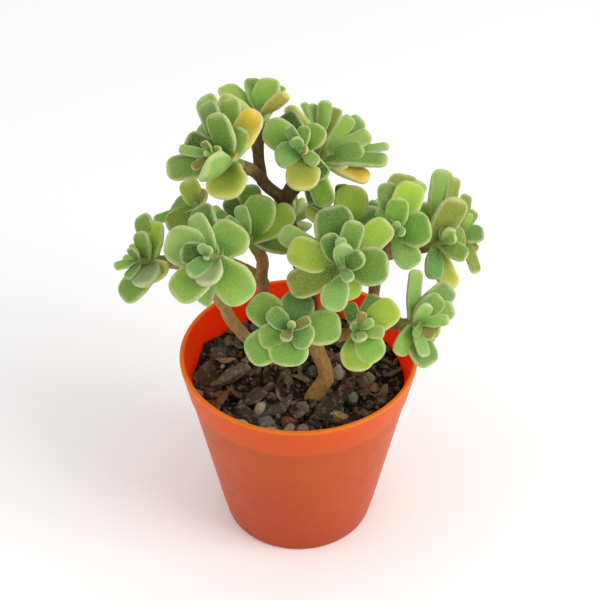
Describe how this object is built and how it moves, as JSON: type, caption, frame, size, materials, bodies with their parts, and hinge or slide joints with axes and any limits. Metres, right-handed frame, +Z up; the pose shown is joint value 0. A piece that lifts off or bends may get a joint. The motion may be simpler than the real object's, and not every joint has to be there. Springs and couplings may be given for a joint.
{
  "type": "potted aeonium",
  "caption": "Small branching succulent shrub with open rosettes of thick, velvety, spoon-shaped leaves, in a tapered plastic nursery pot filled with coarse soil.",
  "frame": {"origin": "centre of the pot's flat base, at the surface it stands on", "axes": "+Z up along the pot's axis, -Y towards the pictured front, +X to its right"},
  "size_m": [0.1332, 0.1039, 0.1797],
  "materials": {
    "pot": "moulded, slightly satin",
    "soil": "coarse bark and gravel mix",
    "stem": "woody, with faint leaf scars",
    "leaf": "velvety green, with a pale hairy rim"
  },
  "bodies": {
    "root": {"pot": "pot", "soil": "soil", "stem_front": "stem", "stem_left": "stem", "stem_back_left": "stem", "stem_back": "stem", "stem_right": "stem", "rosette_front_low": "leaf", "rosette_front_right": "leaf", "rosette_right_low": "leaf", "rosette_centre": "leaf", "rosette_centre_back": "leaf", "rosette_left_front": "leaf", "rosette_left_back": "leaf", "rosette_far_left": "leaf", "rosette_left_behind": "leaf", "rosette_top_left": "leaf", "rosette_top_back": "leaf", "rosette_top_front": "leaf", "rosette_top_right": "leaf", "rosette_top_right_back": "leaf", "rosette_right_front": "leaf", "rosette_right_side": "leaf", "rosette_far_right": "leaf", "rosette_back_left_low": "leaf", "rosette_back_middle": "leaf", "rosette_back_right": "leaf"}
  },
  "joints": []
}
